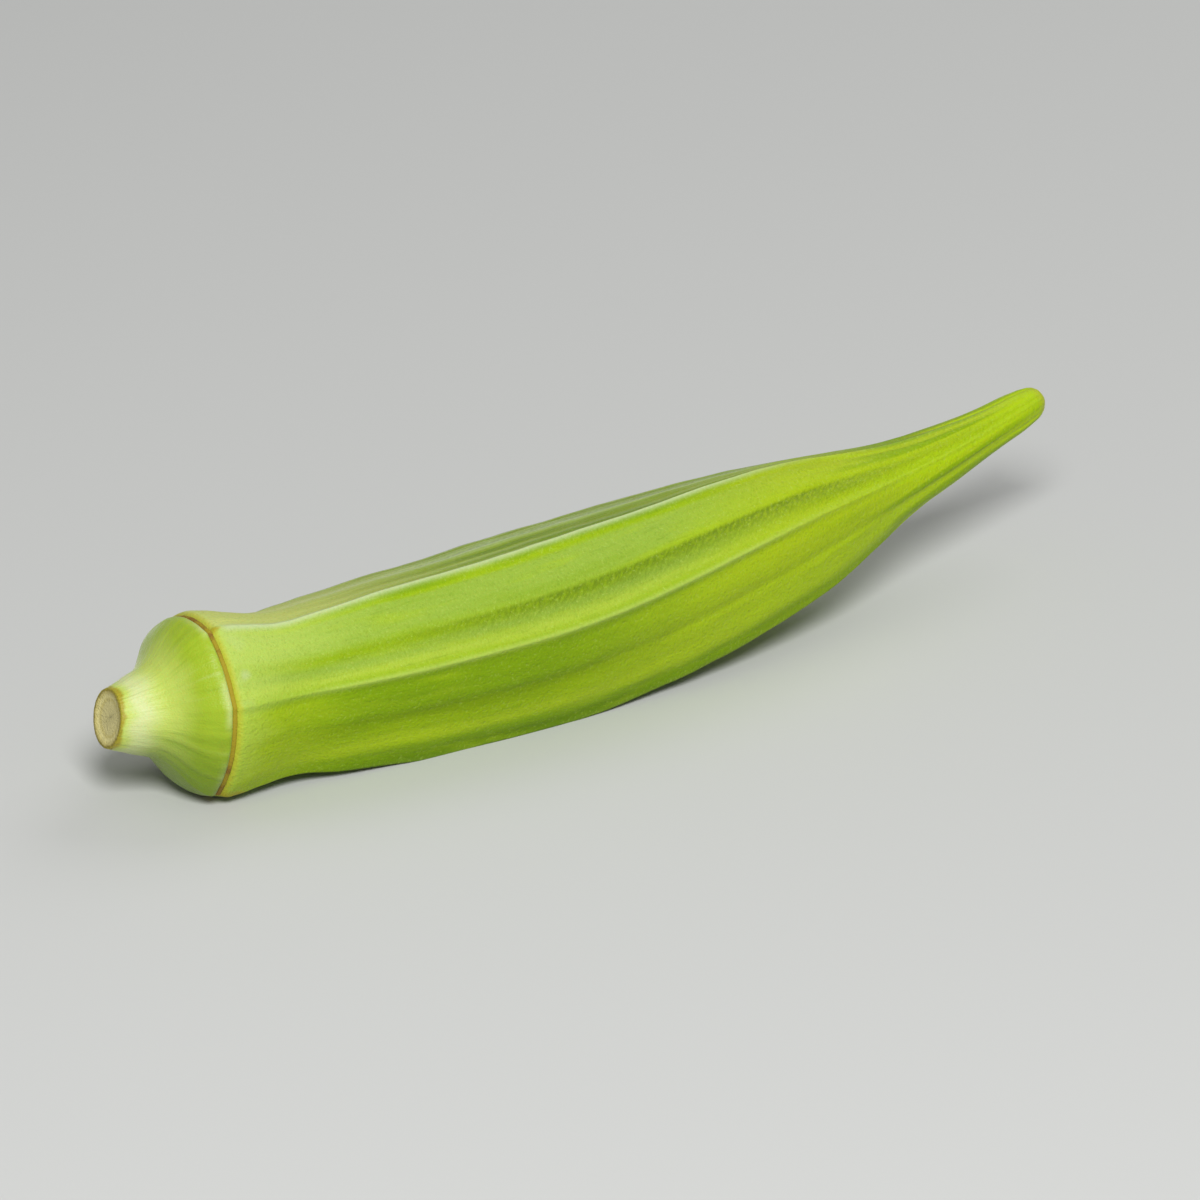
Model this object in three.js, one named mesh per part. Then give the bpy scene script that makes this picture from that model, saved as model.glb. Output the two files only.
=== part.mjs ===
// An okra pod, picked and trimmed, lying on a flat surface. It grew in one piece, so it is one solid: a cut
// stem that flares into a cap, the ring-shaped scar where the flower sat, a long five-ridged pod, and a beak.
// Millimetres, +Z up. The cut stem is at -X, the tip at +X, and the pod bows a little towards -Y.
import * as THREE from "three";

// The axis is one cubic curve. Its four points are the centre of the cut, two pulls and the tip, with
// the height over the surface as z: the pod sags on its belly, and the beak rises.
const AXIS = new THREE.CubicBezierCurve3(
  new THREE.Vector3(0, 0, 10.6),
  new THREE.Vector3(43, -4.8, 7.3),
  new THREE.Vector3(87, -6.5, 9.8),
  new THREE.Vector3(129, 0, 17.3),
);
const POD_LENGTH = AXIS.getLength(); // from the cut to the tip

// Outline: distance from the cut along the axis, and the radius out to the ridges.
const CUT_RADIUS = 3.35;
const CUT_DISH = 0.3; // how far the pith has sunk below the cut's edge
const DISH_SHARE = 0.78; // the dish's share of the cut's radius
const CUT_SLANT = 0.14; // rise of the cut per millimetre across, because the knife went through askew
const SLANT_REACH = 5; // the slant has died out this far along the stem
const RING_AT = 10.7; // the scar's groove
const CAP_OUTLINE = [
  [0, CUT_RADIUS],
  [1.5, 3.9],
  [3, 4.5],
  [4.4, 5.2],
  [5.4, 6.2],
  [6.4, 7.65],
  [7.5, 9.1],
  [8.6, 10],
  [9.6, 10.55],
  [10.2, 10.7],
];
const POD_OUTLINE = [
  [RING_AT, 10.4],
  [11.2, 10.95],
  [13, 11],
  [16, 10.5],
  [20, 10.1],
  [26, 10.9],
  [34, 11.75],
  [44, 12.2],
  [56, 12.45],
  [67, 12],
  [77, 11.2],
  [85, 10.15],
  [92, 8.8],
  [99, 6.85],
  [106, 5],
  [114, 3.75],
  [121, 2.9],
  [127, 2.25],
  [POD_LENGTH - 1.3, 1.6],
  [POD_LENGTH - 0.35, 0.85],
  [POD_LENGTH, 0],
];
const POINTS_PER_SPAN = 2.5; // how finely each span of the outline is cut into rings

// Ridges: the angle of each one round the axis, in degrees, from level on the -Y side and up over the top.
// The pod lies on the face between the last and the first.
const RIDGE_ANGLES = [-51.5, 19.8, 72.6, 148.7, 231];
// How far the middle of the face after each ridge stands out of flat, as a share of the radius.
const FACE_BULGES = [0.015, 0.012, 0.025, 0.03, -0.012];
const COLUMNS_PER_FACE = 10;
const COLUMN_CROWDING = 0.55; // 0 spaces a face's columns evenly, and near 1 crowds them at its ridges
const WIDEST_RADIUS = 12; // the radius that the sizes below belong to
const SHOULDER = { depth: 0.4, width: 1.8 }; // the rounding of a face where it meets a ridge
const RIB = { depth: 0.35, width: 0.6 }; // the narrow rib along a ridge
const CREASE = { depth: 0.16, width: 0.8 }; // the seam down the middle of a face

// How strongly the ridges show: they grow out of the round stem, and fade again in the beak.
const RIDGE_GROWTH = [
  { from: 3, to: RING_AT, share: 0.35 },
  { from: RING_AT, to: 30, share: 0.65 },
  { from: 84, to: 116, share: -0.5 },
  { from: 112, to: POD_LENGTH, share: -0.25 },
];

function ribbing(along) {
  const grown = ({ from, to, share }) => share * THREE.MathUtils.smoothstep(along, from, to);
  return RIDGE_GROWTH.reduce((sum, growth) => sum + grown(growth), 0);
}

const bell = (distance, width) => Math.exp(-((distance / width) ** 2));

// The face and the angle of each column. Columns crowd towards the ridges.
function column(index) {
  const face = Math.floor(index / COLUMNS_PER_FACE) % RIDGE_ANGLES.length;
  const even = (index % COLUMNS_PER_FACE) / COLUMNS_PER_FACE;
  const across = even - (COLUMN_CROWDING * Math.sin(2 * Math.PI * even)) / (2 * Math.PI);
  const start = RIDGE_ANGLES[face];
  const end = RIDGE_ANGLES[face + 1] ?? RIDGE_ANGLES[0] + 360;
  const gap = THREE.MathUtils.degToRad(end - start);
  return { across, gap, bulge: FACE_BULGES[face], angle: THREE.MathUtils.degToRad(start) + gap * across };
}

// The radius of a flat face with a slight bulge, a rounded and ribbed ridge on each side, and a crease.
function radiusAt(along, ridgeRadius, { across, gap, bulge }) {
  const flat = Math.cos(gap / 2) / Math.cos(gap * (across - 0.5));
  const toRidge = WIDEST_RADIUS * gap * Math.min(across, 1 - across);
  const toCrease = WIDEST_RADIUS * gap * Math.abs(across - 0.5);
  const relief =
    RIB.depth * bell(toRidge, RIB.width) -
    SHOULDER.depth * bell(toRidge, SHOULDER.width) -
    CREASE.depth * bell(toCrease, CREASE.width);
  const face = flat - 1 + bulge * Math.sin(Math.PI * across) ** 2 + relief / WIDEST_RADIUS;
  return ridgeRadius * (1 + ribbing(along) * face);
}

// A point of the skin: out from the axis, square to it, and never below the surface that the pod lies on.
const UP = new THREE.Vector3(0, 0, 1);
function skinPoint(along, ridgeRadius, place) {
  const radius = radiusAt(along, ridgeRadius, place);
  const out = -Math.cos(place.angle) * radius;
  const rise = Math.sin(place.angle) * radius;
  const slant = CUT_SLANT * rise * (1 - THREE.MathUtils.smoothstep(along, 0, SLANT_REACH));
  const share = THREE.MathUtils.clamp((along + slant) / POD_LENGTH, 0, 1);
  const tangent = AXIS.getTangentAt(share);
  const side = new THREE.Vector3().crossVectors(UP, tangent).normalize();
  const over = new THREE.Vector3().crossVectors(tangent, side);
  const before = Math.min(along + slant, 0); // a slanted cut can start ahead of the axis
  const point = AXIS.getPointAt(share).addScaledVector(tangent, before);
  point.addScaledVector(side, out).addScaledVector(over, rise);
  point.z = Math.max(point.z, 0);
  return point;
}

// The outline as points of (radius, distance along), from the middle of the cut to the tip.
function outline() {
  const smooth = (spans) => {
    const curve = new THREE.SplineCurve(spans.map(([along, radius]) => new THREE.Vector2(radius, along)));
    return curve.getPoints(Math.round((spans.length - 1) * POINTS_PER_SPAN));
  };
  const cut = [new THREE.Vector2(0, CUT_DISH), new THREE.Vector2(CUT_RADIUS * DISH_SHARE, CUT_DISH)];
  return [...cut, ...smooth(CAP_OUTLINE), ...smooth(POD_OUTLINE)];
}

// The skin is the outline turned on a lathe, with each point then moved out to its face or ridge.
function podGeometry() {
  const points = outline();
  const columns = COLUMNS_PER_FACE * RIDGE_ANGLES.length;
  const geometry = new THREE.LatheGeometry(points, columns);
  const position = geometry.getAttribute("position");
  for (let i = 0; i < position.count; i++) {
    const place = column(columns - Math.floor(i / points.length));
    const { x: ridgeRadius, y: along } = points[i % points.length];
    position.setXYZ(i, ...skinPoint(along, Math.max(ridgeRadius, 0), place).toArray());
  }
  geometry.computeVertexNormals();
  return geometry;
}

const skin = new THREE.MeshStandardMaterial({ color: 0x86a832, roughness: 0.55, metalness: 0 });
const pod = new THREE.Mesh(podGeometry(), skin);
pod.name = "okra_pod";

// The origin is on the surface, under the middle of the pod.
pod.geometry.computeBoundingBox();
const middle = pod.geometry.boundingBox.getCenter(new THREE.Vector3());
pod.position.set(-middle.x, -middle.y, 0);

const okra = new THREE.Group();
okra.add(pod);

export default okra;
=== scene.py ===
import math

import bpy
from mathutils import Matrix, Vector


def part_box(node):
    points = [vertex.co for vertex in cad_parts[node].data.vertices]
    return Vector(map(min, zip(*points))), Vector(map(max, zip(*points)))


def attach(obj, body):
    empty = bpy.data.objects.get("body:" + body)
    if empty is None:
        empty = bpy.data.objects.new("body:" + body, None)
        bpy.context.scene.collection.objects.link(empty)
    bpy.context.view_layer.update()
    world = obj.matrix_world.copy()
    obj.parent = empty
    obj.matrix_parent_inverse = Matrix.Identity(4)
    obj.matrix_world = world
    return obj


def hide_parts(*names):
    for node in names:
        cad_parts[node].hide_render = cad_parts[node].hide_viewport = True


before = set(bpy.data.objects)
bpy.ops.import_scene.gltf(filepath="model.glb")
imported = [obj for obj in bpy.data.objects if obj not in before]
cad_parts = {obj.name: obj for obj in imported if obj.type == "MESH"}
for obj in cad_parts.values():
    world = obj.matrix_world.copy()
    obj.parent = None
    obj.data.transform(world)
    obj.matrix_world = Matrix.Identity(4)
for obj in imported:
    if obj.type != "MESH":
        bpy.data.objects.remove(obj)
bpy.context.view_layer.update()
POD_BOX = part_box("okra_pod")
MM = 0.001

# The pod. One fleshy shell of five long faces, picked green. It starts at the ring-shaped scar where the
# flower sat, swells to its belly and ends in a beak. One rule shapes all its pieces but the hair: an
# outline is turned round a bowed axis, and each turn is drawn in to flat faces.
AXIS_SPAN = 129 * MM
CUT_X = POD_BOX[1].x - AXIS_SPAN
AXIS_Y = 3.387 * MM  # where the axis starts and ends; in between, it bows towards -Y
AXIS_POINTS = (
    Vector((CUT_X, AXIS_Y, 10.6 * MM)),
    Vector((CUT_X + 43 * MM, AXIS_Y - 4.8 * MM, 7.3 * MM)),
    Vector((CUT_X + 87 * MM, AXIS_Y - 6.5 * MM, 9.8 * MM)),
    Vector((CUT_X + AXIS_SPAN, AXIS_Y, 17.3 * MM)),
)
POD_LENGTH = 129.93 * MM
RING_AT = 10.7 * MM
RIDGE_ANGLES = (-51.5, 19.8, 72.6, 148.7, 231)  # degrees from level on the -Y side, up over the top
TWIST = math.radians(10.5)  # the most that a ridge turns on its way to the beak
TWIST_REACH = (49 * MM, 94 * MM)
LIFT = 0.55 * MM  # round LIFT_AT, the pod lies a little higher than its axis
LIFT_AT = 88 * MM
LIFT_REACH = 20 * MM
RIDGE_SHOWS = (0.15, 0.54, 1, 0.9, 0.55)  # how pale each ridge is
FACE_BULGES = (0.015, 0.012, 0.025, 0.03, -0.012)  # shares of the radius; the last face is hollow
STRIPE_PLACES = (0.56, 0.42, 0.55, 0.42, 0.55)  # how far across each face its crease runs
STRIPE_SHOWS = (0.25, 1, 0.6, 0.8, 0.4)  # how dark the stripe beside each crease is
STRIPE_SIDES = (-1, 1, -1, 1, -1)  # the side of the crease that is free of the stripe
FACES = len(RIDGE_ANGLES)
COLUMN_CROWDING = 0.55  # 0 spreads the columns evenly over a face, and 1 packs them at its ridges
BELLY_RADIUS = 12 * MM
RIDGE_GROWTH = (  # from, to, and how much more of the five-sided shape there is after this stretch
    (3 * MM, RING_AT, 0.35),
    (RING_AT, 30 * MM, 0.65),
    (84 * MM, 116 * MM, -0.5),
    (112 * MM, POD_LENGTH, -0.25),
)
BEAK = (84 * MM, 108 * MM)  # over this stretch, the pod narrows to its beak
CUT_SLANT = 0.14  # the cut faces a little upwards
SLANT_REACH = 5 * MM


class Flow:
    """A number, vector or colour on its way through a node tree. Arithmetic on it adds nodes."""

    def __init__(self, tree, socket):
        self.tree = tree
        self.socket = socket
        self.is_vector = socket.type in ("VECTOR", "RGBA")

    def other(self, name):
        """Another output of the node that this flow comes out of."""
        return Flow(self.tree, self.socket.node.outputs[name])

    def math(self, operation, *others):
        return node(self.tree, "ShaderNodeMath", [self, *others], operation=operation)

    def vector_math(self, operation, *others):
        return node(self.tree, "ShaderNodeVectorMath", [self, *others], operation=operation)

    def __add__(self, other):
        return self.vector_math("ADD", other) if self.is_vector else self.math("ADD", other)

    __radd__ = __add__

    def __sub__(self, other):
        return self.math("SUBTRACT", other)

    def __rsub__(self, other):
        return node(self.tree, "ShaderNodeMath", [other, self], operation="SUBTRACT")

    def __mul__(self, other):
        if self.is_vector:
            scaling = {"Vector": self, "Scale": other}
            return node(self.tree, "ShaderNodeVectorMath", scaling, operation="SCALE")
        return self.math("MULTIPLY", other)

    __rmul__ = __mul__

    def __truediv__(self, other):
        return self.math("DIVIDE", other)

    def __neg__(self):
        return self * -1.0

    def parts(self):
        """The X, Y and Z of a vector."""
        split = node(self.tree, "ShaderNodeSeparateXYZ", [self])
        return split, split.other("Y"), split.other("Z")


def node(tree, kind, inputs=(), out=0, **settings):
    """Adds a node with its settings, feeds its inputs in order or by name, and gives what comes out."""
    made = tree.nodes.new(kind)
    for name, value in settings.items():
        setattr(made, name, value)
    for name, value in inputs.items() if isinstance(inputs, dict) else enumerate(inputs):
        if isinstance(value, Flow):
            tree.links.new(value.socket, made.inputs[name])
        else:
            made.inputs[name].default_value = value
    return Flow(tree, made.outputs[out])


def combine(tree, x, y, z):
    return node(tree, "ShaderNodeCombineXYZ", [x, y, z])


def smoothstep(flow, low, high):
    """0 below low, 1 above high, and a smooth rise between."""
    inputs = {"Value": flow, "From Min": low, "From Max": high}
    return node(flow.tree, "ShaderNodeMapRange", inputs, interpolation_type="SMOOTHSTEP")


def bell(distance, width):
    """1 where the distance is 0, dying away over the width."""
    return ((distance / width).math("POWER", 2.0) * -1.0).math("EXPONENT")


def wrapped(around, along, stretch):
    """A place on a cylinder, for noise that meets itself behind the pod and is drawn out along it."""
    turn = around * math.tau
    return combine(around.tree, turn.math("COSINE"), turn.math("SINE"), along / stretch)


def noise(place, scale, detail=2.0, seed=0.0):
    """Smooth random values on both sides of 0, seldom beyond 0.3."""
    inputs = {"Vector": place, "Scale": scale, "Detail": detail, "W": seed}
    return node(place.tree, "ShaderNodeTexNoise", inputs, noise_dimensions="4D") - 0.5


def streaks_at(around, along):
    """The streaks that run along the pod, broader on the beak. The shape and the colour share them."""
    beak = smoothstep(along, *BEAK)
    fine = noise(wrapped(around, along, 60 * MM), 4.5, detail=3.0, seed=3.0)
    broad = noise(wrapped(around, along, 80 * MM), 3.4, detail=1.0, seed=8.0)
    return fine * (1 - beak * 0.85) + broad * beak


def by_number(number, values):
    """The value that belongs to a number of 0, 1, 2 and so on."""
    switch = number.tree.nodes.new("GeometryNodeIndexSwitch")
    switch.data_type = "FLOAT"
    while len(switch.index_switch_items) < len(values):
        switch.index_switch_items.new()
    number.tree.links.new(number.socket, switch.inputs["Index"])
    for place, value in enumerate(values):
        switch.inputs[place + 1].default_value = value
    return Flow(number.tree, switch.outputs[0])


def new_rule(name, inputs):
    """A tree of geometry nodes with named inputs, and the first of its inputs."""
    tree = bpy.data.node_groups.new(name, "GeometryNodeTree")
    tree.interface.new_socket("Result", in_out="OUTPUT", socket_type="NodeSocketGeometry")
    for title, kind in inputs.items():
        tree.interface.new_socket(title, in_out="INPUT", socket_type="NodeSocket" + kind)
    return tree, Flow(tree, tree.nodes.new("NodeGroupInput").outputs[0])


def end_rule(mesh, finish):
    """Ends a tree with plain, smooth-shaded geometry in its finish."""
    smooth = node(mesh.tree, "GeometryNodeSetShadeSmooth", [mesh])
    real = node(mesh.tree, "GeometryNodeRealizeInstances", [smooth])
    finished = node(mesh.tree, "GeometryNodeSetMaterial", {"Geometry": real, "Material": finish})
    mesh.tree.links.new(finished.socket, mesh.tree.nodes.new("NodeGroupOutput").inputs[0])


def skin_rule():
    """The rule as geometry nodes. An outline's x is the distance along the pod, and its y the radius."""
    tree, asked = new_rule("skin_rule", {
        "Outline": "Geometry",
        "Stations": "Int",
        "Columns": "Int",
        "Closing depth": "Float",
        "Streak depth": "Float",
        "Swelling": "Float",
        "Raggedness": "Float",
        "Finish": "Material",
    })
    stations, columns = asked.other("Stations"), asked.other("Columns")

    # A grid, with a row for each station of the outline and a column for each line along the pod. The
    # first and the last row shrink to the axis and so close the piece.
    sizes = {"Size X": 1.0, "Size Y": 1.0, "Vertices X": stations, "Vertices Y": columns + 1}
    grid = node(tree, "GeometryNodeMeshGrid", sizes)
    down, round_the_grid, _ = node(tree, "GeometryNodeInputPosition").parts()
    row = ((down + 0.5) * (stations - 1)).math("ROUND")
    is_first = row.math("LESS_THAN", 0.5)
    is_last = row.math("GREATER_THAN", stations - 1.5)
    share = (row - 1) / (stations - 3)
    station = {"Curves": asked, "Factor": share.math("MAXIMUM", 0.0).math("MINIMUM", 1.0)}
    outline_x, outline_y, _ = node(tree, "GeometryNodeSampleCurve", station, out="Position").parts()
    along = outline_x + is_first * asked.other("Closing depth")
    ridge_radius = outline_y * (1 - is_first) * (1 - is_last)

    # The face that the column is on, and how far across it lies. Columns crowd towards the ridges.
    turn = (round_the_grid + 0.5) * FACES
    face = turn.math("FLOOR").math("MINIMUM", FACES - 1.0)
    even = turn - face
    across = even - COLUMN_CROWDING / math.tau * (even * math.tau).math("SINE")
    starts = [math.radians(angle) for angle in RIDGE_ANGLES]
    gaps = [(after - start) % math.tau for start, after in zip(starts, starts[1:] + starts[:1])]
    gap = by_number(face, gaps)
    around = (face + across) / FACES
    twist_share = 0.5 + 0.5 * ((around - 0.2) * math.tau).math("COSINE")
    twist = TWIST * smoothstep(along, *TWIST_REACH) * twist_share
    angle = by_number(face, starts) + gap * across + twist
    nearest_ridge = (face + across).math("ROUND").math("MODULO", float(FACES))

    # The radius: a flat face with a slight bulge, a ribbed ridge on each side, and a crease between them.
    ribbing = sum(share * smoothstep(along, low, high) for low, high, share in RIDGE_GROWTH)
    flat = (gap / 2).math("COSINE") / (gap * (across - 0.5)).math("COSINE")
    bulge = by_number(face, FACE_BULGES) * (across * math.pi).math("SINE").math("POWER", 2.0)
    to_ridge = across.math("MINIMUM", 1 - across) * gap * BELLY_RADIUS
    off_crease = (across - by_number(face, STRIPE_PLACES)) * gap
    rib = 0.25 * MM * bell(to_ridge, 0.7 * MM)
    shoulder = 0.4 * MM * bell(to_ridge, 1.8 * MM)
    crease = 0.16 * MM * bell(off_crease * BELLY_RADIUS, 0.8 * MM)
    relief = (rib - shoulder - crease) * smoothstep(along, 6 * MM, 15 * MM) / BELLY_RADIUS
    smooth_radius = ridge_radius * (1 + ribbing * (flat - 1 + bulge + relief))

    # Streaks that run along the pod, and slow swellings where seeds press from inside.
    streaks = streaks_at(around, along) * asked.other("Streak depth") * (1 + smoothstep(along, *BEAK))
    slow = noise(wrapped(around, along, 9 * MM), 1.3, detail=1.0, seed=7.0)
    swellings = slow * asked.other("Swelling")
    girth = smoothstep(ridge_radius, 0.0, 4 * MM)
    radius = smooth_radius + streaks * girth + swellings * smooth_radius / BELLY_RADIUS

    # The place of the point: out from the axis, square to it, and never below the surface it lies on.
    out, rise = -angle.math("COSINE") * radius, angle.math("SINE") * radius
    length = along + CUT_SLANT * rise * (1 - smoothstep(along, 0, SLANT_REACH))
    ends = dict(zip(("Start", "Start Handle", "End Handle", "End"), AXIS_POINTS))
    axis = node(tree, "GeometryNodeCurvePrimitiveBezierSegment", {"Resolution": 256, **ends})
    held = length.math("MAXIMUM", 0.0).math("MINIMUM", POD_LENGTH)
    sampled = {"Curves": axis, "Length": held}
    centre = node(tree, "GeometryNodeSampleCurve", sampled, out="Position", mode="LENGTH")
    tangent = centre.other("Tangent")
    side = combine(tree, 0.0, 0.0, 1.0).vector_math("CROSS_PRODUCT", tangent).vector_math("NORMALIZE")
    over = tangent.vector_math("CROSS_PRODUCT", side)
    place = centre + tangent * (length - held) + side * out + over * rise
    place = place + combine(tree, 0.0, 0.0, LIFT * bell(along - LIFT_AT, LIFT_REACH))
    notch_size = 0.9 * MM
    notches = node(tree, "ShaderNodeTexNoise", {"Vector": place, "Scale": 1 / notch_size}, out="Color")
    ragged = (notches + Vector((-0.5, -0.5, -0.5))) * asked.other("Raggedness")
    x, y, z = (place + ragged).parts()

    # What the finishes read: a map, once round the pod as U and along it as V, and measures of the skin.
    skin_map = combine(tree, around, along / POD_LENGTH, 0.0)
    mapped = {"Geometry": grid, "Name": "SkinMap", "Value": skin_map}
    mesh = node(tree, "GeometryNodeStoreNamedAttribute", mapped, data_type="FLOAT2", domain="CORNER")
    for name, value in {
        "from_ridge": to_ridge * ridge_radius / BELLY_RADIUS,
        "from_crease": off_crease * ridge_radius * by_number(face, STRIPE_SIDES),
        "from_axis": ridge_radius,
        "ridge_shows": by_number(nearest_ridge, RIDGE_SHOWS),
        "stripe_shows": by_number(face, STRIPE_SHOWS),
    }.items():
        measured = {"Geometry": mesh, "Name": name, "Value": value}
        mesh = node(tree, "GeometryNodeStoreNamedAttribute", measured)
    moved = {"Geometry": mesh, "Position": combine(tree, x, y, z.math("MAXIMUM", 0.0))}
    skin = node(tree, "GeometryNodeSetPosition", moved)
    seam_gap = 0.002 * MM
    joined = node(tree, "GeometryNodeMergeByDistance", {"Geometry": skin, "Distance": seam_gap})
    end_rule(node(tree, "GeometryNodeFlipFaces", [joined]), asked.other("Finish"))
    return tree


def grow(name, source, rule, **sizes):
    """Runs a rule on the source with the sizes given, and adds the result as a piece of the pod."""
    carrier = bpy.data.objects.new(name + "_source", source)
    bpy.context.collection.objects.link(carrier)
    modifier = carrier.modifiers.new(rule.name, "NODES")
    modifier.node_group = rule
    for item in rule.interface.items_tree:
        wanted = item.name.lower().replace(" ", "_")
        if wanted in sizes:
            modifier[item.identifier] = sizes[wanted]
    graph = bpy.context.evaluated_depsgraph_get()
    mesh = bpy.data.meshes.new_from_object(carrier.evaluated_get(graph), depsgraph=graph)
    bpy.data.objects.remove(carrier)
    piece = bpy.data.objects.new(name, mesh)
    bpy.context.collection.objects.link(piece)
    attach(piece, "root")
    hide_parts("okra_pod")
    return piece


def outline(name, points):
    """A smooth curve through points of (distance along the pod, radius), in millimetres."""
    data = bpy.data.curves.new(name, "CURVE")
    spline = data.splines.new("BEZIER")
    spline.resolution_u = 24
    spline.bezier_points.add(len(points) - 1)
    for knot, (along, radius) in zip(spline.bezier_points, points):
        knot.co = (along * MM, radius * MM, 0)
        knot.handle_left_type = knot.handle_right_type = "AUTO"
    return data


def new_finish(name, constants):
    """A material whose constant inputs are set, and its shader."""
    made = bpy.data.materials.new(name)
    made.use_nodes = True
    shader = made.node_tree.nodes["Principled BSDF"]
    for title, value in constants.items():
        shader.inputs[title].default_value = value
    return made, shader


def feed(shader, colour, roughness, height, depth):
    """Gives a shader its colour, its roughness and a relief, whose height of 1 is the depth given."""
    tree = shader.id_data
    bump = node(tree, "ShaderNodeBump", {"Strength": 1.0, "Distance": depth, "Height": height})
    for title, flow in {"Base Color": colour, "Roughness": roughness, "Normal": bump}.items():
        tree.links.new(flow.socket, shader.inputs[title])


def tone(red, green, blue):
    """A colour given as screen values from 0 to 255."""
    return (*(((value / 255 + 0.055) / 1.055) ** 2.4 for value in (red, green, blue)), 1)


def lay(under, over, share):
    """Lays one colour over another. The share is 0 for none of it and 1 for all."""
    # A Mix node takes its colours at inputs 6 and 7, and gives a colour at output 2.
    return node(share.tree, "ShaderNodeMix", {0: share, 6: under, 7: over}, out=2, data_type="RGBA")


def band(flow, stops):
    """A colour that changes smoothly through stops of (place, colour)."""
    made = node(flow.tree, "ShaderNodeValToRGB", [flow])
    ramp = made.socket.node.color_ramp
    ramp.interpolation = "EASE"
    for place, colour in stops:
        ramp.elements.new(place).color = colour
    # A new ramp comes with a black and a white stop, which are taken out.
    ramp.elements.remove(ramp.elements[0])
    ramp.elements.remove(ramp.elements[-1])
    return made


def on_skin(tree):
    """A point's share of the way round the pod, and its distance along it."""
    around, along, _ = node(tree, "ShaderNodeUVMap", uv_map="SkinMap").parts()
    return around, along * POD_LENGTH


def kept(tree, name):
    """A value that the skin rule has kept."""
    return node(tree, "ShaderNodeAttribute", out="Fac", attribute_name=name)


def grain(tree, size, detail=1.0, seed=0.0):
    """Noise of one grain size in all directions."""
    return noise(node(tree, "ShaderNodeTexCoord", out="Object"), 1 / size, detail, seed)


LEAF = tone(146, 176, 4)
LEAF_BRIGHT = tone(164, 190, 24)
LEAF_MILKY = tone(166, 190, 58)
LEAF_YELLOW = tone(170, 184, 14)
VELVET = tone(146, 175, 58)
LEAF_DEEP = tone(127, 161, 0)
BEAK_BRIGHT = tone(172, 202, 10)
LEAF_SHADE = tone(98, 130, 4)
OLIVE = tone(120, 148, 2)
GREY_GREEN = tone(130, 151, 38)
SPECKLE = tone(90, 115, 18)
PALE = tone(186, 208, 98)
RIDGE_PALE = tone(190, 205, 152)
BEIGE = tone(204, 208, 118)
GLOW = tone(184, 184, 48)
DRY_GOLD = tone(164, 150, 36)
POD_COLOURS = (  # counted in faces from the first ridge
    # The LEAF_SHADE stops at both ends of this list darken the bottom edge: painted shade.
    (0.02, LEAF_SHADE),
    (0.12, LEAF_DEEP),
    (0.25, LEAF_BRIGHT),
    (0.4, LEAF),
    (0.54, OLIVE),
    (0.66, LEAF_DEEP),
    (0.96, LEAF_DEEP),
    (1.03, LEAF),
    (1.12, LEAF_MILKY),
    (1.25, VELVET),
    (1.38, LEAF),
    (1.55, VELVET),
    (1.84, VELVET),
    (1.9, LEAF),
    (1.95, LEAF_DEEP),
    (2.0, LEAF_DEEP),
    (2.05, GREY_GREEN),
    (2.5, LEAF),
    (2.95, GREY_GREEN),
    (3.2, LEAF_BRIGHT),
    (3.45, OLIVE),
    (3.7, LEAF),
    (3.95, LEAF_DEEP),
    (4.2, LEAF),
    (4.5, OLIVE),
    (4.75, LEAF),
    (4.92, LEAF_SHADE),
)
POD_OUTLINE = (  # distance along the pod, and radius at its ridges
    (10.78, 10.35),
    (11.2, 10.95),
    (13, 11),
    (16, 10.5),
    (20, 10.1),
    (26, 10.9),
    (34, 11.75),
    (44, 12.2),
    (56, 12.45),
    (67, 12),
    (77, 11.2),
    (85, 10.15),
    (92, 8.8),
    (99, 6.85),
    (106, 5),
    (114, 3.75),
    (121, 2.8),
    (127, 2.25),
    (128.8, 1.85),
    (129.6, 1.25),
    (129.93, 0),
)


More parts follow.
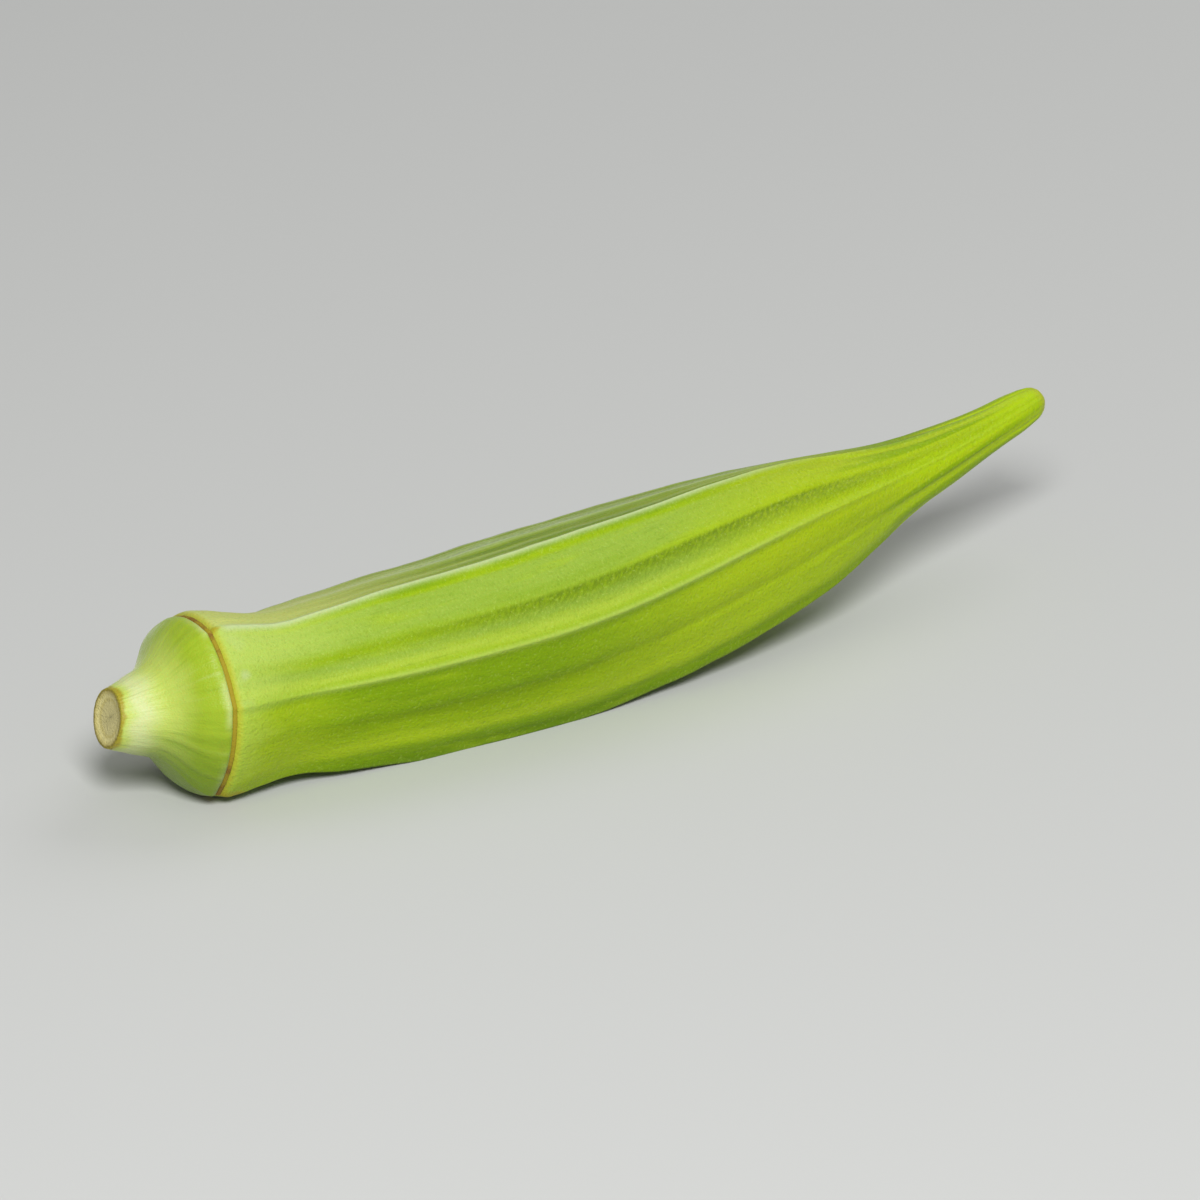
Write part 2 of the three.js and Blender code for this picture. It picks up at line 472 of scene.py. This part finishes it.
def pod_finish():
    """Green skin in bands, with a speckled stripe down each face, pale ridges and a velvety grain."""
    made, shader = new_finish("pod_skin", {
        "Specular IOR Level": 0.13,
        "Sheen Weight": 0.14,
        "Sheen Roughness": 0.25,
        "Sheen Tint": tone(235, 240, 215),
        "Subsurface Weight": 0.06,
        "Subsurface Scale": 0.6 * MM,
    })
    tree = made.node_tree
    around, along = on_skin(tree)
    faces = around * FACES
    streaks = streaks_at(around, along)
    beak = smoothstep(along, *BEAK)
    threads = noise(wrapped(around, along, 70 * MM), 17.0, detail=3.0, seed=5.0) * (1 - beak * 0.7)
    wander = noise(wrapped(around, along, 30 * MM), 1.6, detail=1.0, seed=9.0) * 0.035
    colour = band(around + wander, [(place / FACES, stop) for place, stop in POD_COLOURS])
    colour = lay(colour, LEAF, smoothstep(along, 66 * MM, 100 * MM) * 0.6)
    colour = lay(colour, LEAF_DEEP, smoothstep(streaks, 0.02, 0.3) * 0.5)
    colour = lay(colour, LEAF_BRIGHT, smoothstep(-streaks, 0.02, 0.25) * 0.5)
    colour = lay(colour, LEAF_SHADE, smoothstep(threads, 0.04, 0.3) * 0.3)

    # The lower face in front is plainer and brighter towards both ends.
    front = 1 - smoothstep(faces, 0.9, 1.0)
    colour = lay(colour, LEAF_BRIGHT, front * (1 - smoothstep(along, 14 * MM, 28 * MM)) * 0.8)
    far_end = smoothstep(along, 48 * MM, 76 * MM) * smoothstep(faces, 0.08, 0.22)
    colour = lay(colour, LEAF_BRIGHT, front * far_end * 0.9)

    # Towards the beak the front turns yellower, and on it broad light and dark streaks cover the bands.
    yellowed = smoothstep(((around - 0.28) * math.tau).math("COSINE"), 0.2, 0.8)
    colour = lay(colour, LEAF_YELLOW, smoothstep(along, 66 * MM, 96 * MM) * yellowed * 0.6)
    # The front is painted brighter towards the beak as well: painted light.
    painted_light_front = smoothstep(((around - 0.18) * math.tau).math("COSINE"), 0.3, 0.9)
    colour = lay(colour, BEAK_BRIGHT, smoothstep(along, 60 * MM, 100 * MM) * painted_light_front * 0.5)
    colour = lay(colour, BEAK_BRIGHT, smoothstep(-streaks, 0.0, 0.1) * beak * 0.8)
    colour = lay(colour, LEAF_DEEP, smoothstep(streaks, 0.0, 0.12) * beak * 0.8)

    # The upper back is greyer, with long thin lines both lighter and darker than the skin. Three keep
    # their place: a dark and a pale one beside the ridge, and a broad pale one down the middle, which
    # is a painted rim highlight.
    back = smoothstep(faces, 1.97, 2.06) * (1 - smoothstep(faces, 2.94, 3.03)) * (1 - beak)
    lines = noise(wrapped(around, along, 400 * MM), 11.0, detail=1.0, seed=6.0)
    colour = lay(colour, PALE, smoothstep(-lines, 0.03, 0.16) * back * 0.5)
    colour = lay(colour, LEAF_SHADE, smoothstep(lines, 0.04, 0.16) * back * 0.6)
    colour = lay(colour, LEAF_SHADE, bell(faces - 2.07, 0.025) * back * 0.5)
    colour = lay(colour, RIDGE_PALE, bell(faces - 2.13, 0.03) * back * 0.25)
    # The broad pale line is a painted highlight.
    colour = lay(colour, RIDGE_PALE, bell(faces - 2.53, 0.12) * back)

    # The stripe is made of short dark dashes that lie askew. It is strongest on the belly, ends sharply
    # at the crease and fades out on one side of it. The dashes are measured in millimetres.
    belly_girth, dash_width, dash_length = 75, 0.42, 1.2
    over, onward = around * belly_girth, along / MM
    across_dash = (over * 0.6 - onward * 0.8) / dash_width
    along_dash = (over * 0.8 + onward * 0.6) / dash_length
    askew = combine(tree, across_dash, along_dash, 0.0)
    dashes = smoothstep(noise(askew, 1.0, seed=2.0), -0.2, 0.16)
    belly = 0.3 + 0.7 * smoothstep(along, 24 * MM, 54 * MM) * (1 - smoothstep(along, 84 * MM, 112 * MM))
    beyond = kept(tree, "from_crease")
    stripe = (1 - smoothstep(beyond, -0.2 * MM, 0.5 * MM)) * bell(beyond.math("MINIMUM", 0.0), 2.2 * MM)
    stripe = stripe * kept(tree, "stripe_shows") * belly
    colour = lay(colour, SPECKLE, stripe * (0.5 + 0.5 * dashes) * 0.8)

    # Pale tongues and flecks reach from the scar on to the faces, and the back is beige next to it. A
    # thin yellow glow lines the scar, with a gold tick at each ridge but the second.
    uneven = noise(wrapped(around, along, 1.0), 3.0, seed=4.0)
    reach = RING_AT + 5 * MM + 22 * MM * bell(faces - 2.1, 0.8) + 16 * MM * uneven
    tongues = (1 - smoothstep(along, RING_AT, reach)) * (0.35 + 0.4 * bell(faces - 1.8, 0.8))
    colour = lay(colour, PALE, tongues)
    colour = lay(colour, BEIGE, (1 - smoothstep(along, 14 * MM, 50 * MM)) * back * 0.7)
    flecks = smoothstep(noise(wrapped(around, along, 9 * MM), 3.2, detail=1.0, seed=6.0), 0.0, 0.2)
    flecks = flecks * bell(along - RING_AT - 1.8 * MM, 1.4 * MM) * bell(faces - 1.4, 0.4)
    colour = lay(colour, RIDGE_PALE, flecks * 0.5)
    glow = 1 - smoothstep(along, RING_AT + 0.3 * MM, RING_AT + 1.1 * MM)
    colour = lay(colour, GLOW, glow * 0.8)
    from_ridge, shows = kept(tree, "from_ridge"), kept(tree, "ridge_shows")
    tick_end = RING_AT + 4.2 * MM - shows * 2.4 * MM - from_ridge * 1.6
    tick_width = 1.1 * MM - shows * 0.6 * MM
    tick = (1 - smoothstep(along, tick_end - 0.8 * MM, tick_end)) * bell(from_ridge, tick_width)
    tick = tick * smoothstep((faces - 1).math("ABSOLUTE"), 0.1, 0.3)
    colour = lay(colour, DRY_GOLD, tick * 0.8)

    # Dense short hair makes the ridges pale, and its grain shows on the faces as a stipple. The faint
    # ridges turn pale some way from the scar, and all of them fade on the beak.
    stipple = grain(tree, 0.28 * MM, seed=1.0)
    grown = smoothstep(along + shows * 30 * MM, 24 * MM, 46 * MM)
    grown = grown * smoothstep(along, RING_AT + 0.8 * MM, RING_AT + 2.4 * MM)
    grown = grown * (1 - smoothstep(along, 74 * MM, 98 * MM) * 0.9)
    # Next to the scar the lines are wider, which is a painted highlight.
    width = 0.38 * MM + (1 - smoothstep(along, RING_AT, 28 * MM)) * 0.2 * MM
    line = bell(from_ridge + stipple * 0.15 * MM, width) * shows * grown
    colour = lay(colour, LEAF_SHADE, smoothstep(stipple, 0.0, 0.3) * 0.25)
    colour = lay(colour, PALE, smoothstep(-stipple, 0.04, 0.3) * 0.25)
    colour = lay(colour, lay(PALE, RIDGE_PALE, smoothstep(shows, 0.4, 0.9)), line * 0.8)

    # The last of the beak is bright, and its end has begun to dry.
    last = smoothstep(along, POD_LENGTH - 12 * MM, POD_LENGTH - 2 * MM)
    colour = lay(colour, BEAK_BRIGHT, last * 0.6)
    dried = smoothstep(along + stipple * 0.8 * MM, POD_LENGTH - 2.4 * MM, POD_LENGTH - 0.2 * MM)
    colour = lay(colour, GLOW, dried * 0.7)
    height = stipple + threads * 0.5 + stripe * dashes * 0.5
    feed(shader, colour, 0.5 + stipple * 0.3, height, 0.11 * MM)
    return made


skin_shape = skin_rule()
pod = grow(
    "pod_skin",
    outline("pod_outline", POD_OUTLINE),
    skin_shape,
    stations=440,
    columns=200,
    closing_depth=0.0,
    streak_depth=0.35 * MM,
    swelling=0.5 * MM,
    raggedness=0.0,
    finish=pod_finish(),
)

# The cap. The end of the stalk, which widens to the scar: tough flesh, paler and smoother than the pod,
# with fine veins that fan out from the stem. It grew in one piece with the pod.
CAP_OUTLINE = (
    (0, 3.35),
    (1.5, 3.9),
    (3, 4.5),
    (4.8, 5.2),
    (5.85, 6.2),
    (6.85, 7.6),
    (7.85, 9.0),
    (8.8, 9.95),
    (9.6, 10.55),
    (10.2, 10.7),
    (10.62, 10.35),
)
STEM_PALE = tone(206, 216, 148)
CAP_PALE = tone(188, 206, 92)
CAP_GREEN = tone(158, 184, 38)
CAP_DEEP = tone(118, 148, 14)
CAP_BROWN = tone(146, 134, 50)


def cap_finish():
    """Pale green, whitish on the stem, with fanning veins and a little brown towards the scar."""
    made, shader = new_finish("cap_skin", {
        "Specular IOR Level": 0.3,
        "Sheen Weight": 0.25,
        "Sheen Roughness": 0.3,
        "Subsurface Weight": 0.1,
        "Subsurface Scale": 0.8 * MM,
    })
    tree = made.node_tree
    around, along = on_skin(tree)
    veins = noise(wrapped(around, along, 50 * MM), 8.0, detail=3.0, seed=12.0)
    blotches = noise(wrapped(around, along, 6 * MM), 2.0, seed=15.0)
    colour = band(along / RING_AT + blotches * 0.25, (
        (0.03, CAP_PALE),
        (0.2, STEM_PALE),
        (0.5, CAP_PALE),
        (0.75, CAP_GREEN),
        (0.97, CAP_GREEN),
    ))
    off_stem = smoothstep(along, 2 * MM, 7 * MM)
    colour = lay(colour, CAP_DEEP, smoothstep(veins, 0.0, 0.35) * off_stem * 0.6)
    colour = lay(colour, STEM_PALE, smoothstep(-veins, 0.05, 0.4) * 0.3)
    colour = lay(colour, CAP_BROWN, smoothstep(blotches + along / RING_AT * 0.1, 0.2, 0.45) * 0.5)

    # The wide edge is whitish in patches, a painted highlight. The underside is darker green, which is
    # painted shade, and next to the cut, the skin has dried to gold.
    edge = smoothstep(along, 9.3 * MM, 10.3 * MM) * smoothstep(-blotches, -0.1, 0.1)
    colour = lay(colour, STEM_PALE, edge * 0.6)
    # Painted shade: the underside is darkened.
    under = 0.5 - 0.5 * ((around - 0.42) * math.tau).math("COSINE")
    painted_shade = smoothstep(under + veins * 0.3, 0.45, 0.95) * smoothstep(along, 0.0, 6 * MM)
    colour = lay(colour, LEAF_SHADE, painted_shade * 0.7)
    dried = 1 - smoothstep(along + blotches * 1.6 * MM, 0.2 * MM, 0.7 * MM)
    colour = lay(colour, DRY_GOLD, dried * 0.95)
    stipple = grain(tree, 0.22 * MM, detail=2.0, seed=2.0)
    colour = lay(colour, CAP_DEEP, smoothstep(stipple, 0.05, 0.35) * 0.25)
    feed(shader, colour, 0.45 + stipple * 0.3, veins + stipple * 0.5, 0.15 * MM)
    return made


grow(
    "cap_skin",
    outline("cap_outline", CAP_OUTLINE),
    skin_shape,
    stations=120,
    columns=200,
    closing_depth=2.5 * MM,
    streak_depth=0.15 * MM,
    swelling=0.15 * MM,
    raggedness=0.0,
    finish=cap_finish(),
)

# The flower scar. A thin ring of cork in the groove between cap and pod, where the flower broke off. It
# is dry and uneven, in short lengths of gold and brown.
SCAR_OUTLINE = ((10.42, 10.3), (10.5, 10.6), (10.7, 10.7), (10.92, 10.7), (11.02, 10.45))
CORK_GOLD = tone(160, 142, 28)
CORK_BROWN = tone(124, 86, 32)


def scar_finish():
    """Dry cork in short lengths of gold and brown, browner on top and underneath."""
    made, shader = new_finish("flower_scar", {"Specular IOR Level": 0.3})
    tree = made.node_tree
    around, along = on_skin(tree)
    lengths = noise(wrapped(around, along, 1.0), 5.0, detail=3.0, seed=21.0)
    crumbs = grain(tree, 0.16 * MM, detail=2.0, seed=3.0)
    side = ((around - 0.22) * 2 * math.tau).math("COSINE")
    colour = lay(CORK_GOLD, CORK_BROWN, smoothstep(lengths + crumbs * 0.4 - side * 0.15, -0.05, 0.3))
    feed(shader, colour, 0.7 + crumbs * 0.3, crumbs, 0.1 * MM)
    return made


grow(
    "flower_scar",
    outline("scar_outline", SCAR_OUTLINE),
    skin_shape,
    stations=14,
    columns=600,
    closing_depth=0.0,
    streak_depth=0.0,
    swelling=0.15 * MM,
    raggedness=0.12 * MM,
    finish=scar_finish(),
)

# The cut. The stem's end as the knife left it: a thin rim of skin, dried to gold and brown, then a pale
# ring of wood, and the pith, which has dried and sunk a little below them.
CUT_OUTLINE = (
    (0.3, 0.2),
    (0.3, 1.2),
    (0.26, 2),
    (0.12, 2.6),
    (-0.03, 3.05),
    (0.05, 3.32),
    (0.35, 3.4),
    (0.6, 3.3),
)
PITH = tone(208, 198, 136)
WOOD = tone(198, 186, 116)
WOOD_PALE = tone(218, 208, 142)
RIM_GOLD = tone(162, 154, 44)
RIM_BROWN = tone(142, 128, 46)
CUT_RADIUS = 3.4 * MM


def cut_finish():
    """Rings of pith, wood and skin, with the torn ends of fibres."""
    made, shader = new_finish("cut_end", {"Specular IOR Level": 0.35})
    tree = made.node_tree
    around, along = on_skin(tree)
    fibres = grain(tree, 0.2 * MM, detail=3.0, seed=4.0)
    rays = noise(wrapped(around, along, 1.0), 9.0, seed=31.0)
    from_middle = kept(tree, "from_axis") / CUT_RADIUS + fibres * 0.12 + rays * 0.08
    colour = band(from_middle, (
        (0.1, PITH),
        (0.5, PITH),
        (0.62, WOOD),
        (0.72, WOOD_PALE),
        (0.84, WOOD),
        (0.93, RIM_BROWN),
        (0.98, RIM_GOLD),
    ))
    colour = lay(colour, RIM_BROWN, smoothstep(fibres, 0.05, 0.4) * 0.5)
    feed(shader, colour, 0.65 + fibres * 0.3, fibres + rays, 0.2 * MM)
    return made


grow(
    "cut_end",
    outline("cut_outline", CUT_OUTLINE),
    skin_shape,
    stations=60,
    columns=200,
    closing_depth=0.0,
    streak_depth=0.0,
    swelling=0.0,
    raggedness=0.12 * MM,
    finish=cut_finish(),
)

# The tip. A tiny knob where the flower's style broke off. It is skin that has dried, green at its root
# and brown at its end, and grew in one piece with the beak.
TIP_OUTLINE = (
    (129.2, 0.75),
    (129.55, 0.72),
    (129.8, 0.5),
    (130.0, 0.42),
    (130.12, 0.25),
    (130.15, 0.05),
)


def tip_finish():
    """Dry skin that goes from green to brown."""
    made, shader = new_finish("style_scar", {"Specular IOR Level": 0.3})
    tree = made.node_tree
    around, along = on_skin(tree)
    crumbs = grain(tree, 0.15 * MM, detail=2.0, seed=5.0)
    dried = smoothstep(along + crumbs * 0.8 * MM, 129.3 * MM, 130.1 * MM)
    colour = lay(LEAF_BRIGHT, CORK_BROWN, dried * 0.9)
    feed(shader, colour, 0.6 + crumbs * 0.3, crumbs, 0.1 * MM)
    return made


grow(
    "style_scar",
    outline("tip_outline", TIP_OUTLINE),
    skin_shape,
    stations=24,
    columns=60,
    closing_depth=0.0,
    streak_depth=0.0,
    swelling=0.0,
    raggedness=0.1 * MM,
    finish=tip_finish(),
)

# The hair. Thousands of stiff, pale hairs shorter than half a millimetre grow all over the pod, closest
# together on its palest ridges, and lean towards the tip.
HAIR_PALE = tone(200, 214, 140)


def hair_rule():
    """Scatters three-sided spikes over a skin."""
    tree, asked = new_rule("hair_rule", {
        "Skin": "Geometry",
        "Hairs per square metre": "Float",
        "Length": "Float",
        "Thickness": "Float",
        "Lean": "Float",
        "Seed": "Int",
        "Finish": "Material",
    })
    from_ridge = node(tree, "GeometryNodeInputNamedAttribute", {"Name": "from_ridge"})
    shows = node(tree, "GeometryNodeInputNamedAttribute", {"Name": "ridge_shows"})
    on_faces, on_ridges = 0.08, 0.92
    crowding = on_faces + on_ridges * bell(from_ridge, 0.4 * MM) * smoothstep(shows, 0.5, 1.0)
    scattered = {
        "Mesh": asked,
        "Density": asked.other("Hairs per square metre") * crowding,
        "Seed": asked.other("Seed"),
    }
    roots = node(tree, "GeometryNodeDistributePointsOnFaces", scattered)
    sway = {"Min": Vector((-0.35, -0.35, -0.35)), "Max": Vector((0.35, 0.35, 0.35))}
    leaning = combine(tree, asked.other("Lean"), 0.0, 0.0)
    sways = node(tree, "FunctionNodeRandomValue", sway, data_type="FLOAT_VECTOR")
    direction = roots.other("Normal") + leaning + sways
    upright = node(tree, "FunctionNodeAlignRotationToVector", {"Vector": direction}, axis="Z")
    spike = node(tree, "GeometryNodeMeshCone", {
        "Vertices": 3,
        "Radius Bottom": asked.other("Thickness"),
        "Depth": asked.other("Length"),
    })
    # A random plain number has its least and its most at inputs 2 and 3, and comes out at output 1.
    sizes = {2: 0.45, 3: 1.0, "Seed": 2}
    size = node(tree, "FunctionNodeRandomValue", sizes, out=1, data_type="FLOAT")
    placed = {"Points": roots, "Instance": spike, "Rotation": upright, "Scale": size}
    end_rule(node(tree, "GeometryNodeInstanceOnPoints", placed), asked.other("Finish"))
    return tree


def hair_finish():
    """Pale and a little see-through, greener in patches."""
    made, shader = new_finish("skin_hair", {
        "Sheen Weight": 0.3,
        "Subsurface Weight": 0.2,
        "Subsurface Scale": 0.2 * MM,
    })
    tree = made.node_tree
    patches = grain(tree, 2 * MM, detail=2.0, seed=6.0)
    fine = grain(tree, 0.1 * MM, seed=6.0)
    colour = lay(HAIR_PALE, LEAF_BRIGHT, smoothstep(patches, -0.1, 0.2) * 0.6)
    feed(shader, colour, 0.5 + fine * 0.2, fine, 0.01 * MM)
    return made


grow(
    "skin_hair",
    pod.data.copy(),
    hair_rule(),
    hairs_per_square_metre=5e6,
    length=0.24 * MM,
    thickness=0.02 * MM,
    lean=0.5,
    seed=4,
    finish=hair_finish(),
)

# The studio. A plain pale floor, a large soft lamp above and in front, a weaker one beyond the tip, and
# a pale room. The camera stands far off, on the side of the cut end, and looks a little down on the pod.
VIEW_TURN = math.radians(34.5)
VIEW_RISE = math.radians(25)
VIEW_DISTANCE = 1.15
VIEW_WIDTH = 0.137  # what the picture shows from side to side, at the pod
ROOM_BRIGHTNESS = 0.27
SENSOR = 36  # millimetres
AIM = Vector((0, 0, 0.0095))
BACK = Vector((
    -math.sin(VIEW_TURN) * math.cos(VIEW_RISE),
    -math.cos(VIEW_TURN) * math.cos(VIEW_RISE),
    math.sin(VIEW_RISE),
))
FLOOR_REACH = 6


def facing(place):
    """The turn that makes a camera or lamp at a place look at the pod."""
    return (AIM - place).to_track_quat("-Z", "Y").to_euler()


camera_data = bpy.data.cameras.new("camera")
camera_data.sensor_width = SENSOR
camera_data.lens = SENSOR * VIEW_DISTANCE / VIEW_WIDTH
camera_data.clip_start = 0.05
camera = bpy.data.objects.new("camera", camera_data)
camera.location = AIM + BACK * VIEW_DISTANCE
camera.rotation_euler = facing(camera.location)
bpy.context.collection.objects.link(camera)
bpy.context.scene.camera = camera

corners = [(x * FLOOR_REACH, y * FLOOR_REACH, 0) for x, y in ((-1, -1), (1, -1), (1, 1), (-1, 1))]
floor_mesh = bpy.data.meshes.new("floor")
floor_mesh.from_pydata(corners, [], [(0, 1, 2, 3)])
floor_finish, _ = new_finish("floor", {"Base Color": tone(198, 199, 197), "Roughness": 0.8})
floor_mesh.materials.append(floor_finish)
floor = bpy.data.objects.new("floor", floor_mesh)
bpy.context.collection.objects.link(floor)


def soft_light(name, place, size, power):
    """Adds a round lamp that shines on the pod."""
    data = bpy.data.lights.new(name, "AREA")
    data.shape = "DISK"
    data.size = size
    data.energy = power
    lamp = bpy.data.objects.new(name, data)
    lamp.location = place
    lamp.rotation_euler = facing(Vector(place))
    bpy.context.collection.objects.link(lamp)


soft_light("key", (-0.35, -0.6, 0.72), size=0.4, power=9.2)
soft_light("fill", (0.6, 0.2, 0.6), size=0.6, power=1.5)
world = bpy.data.worlds.new("studio")
world.use_nodes = True
room = world.node_tree.nodes["Background"]
room.inputs["Color"].default_value = (1, 1, 1, 1)
room.inputs["Strength"].default_value = ROOM_BRIGHTNESS
bpy.context.scene.world = world
bpy.context.scene.view_settings.view_transform = "Standard"
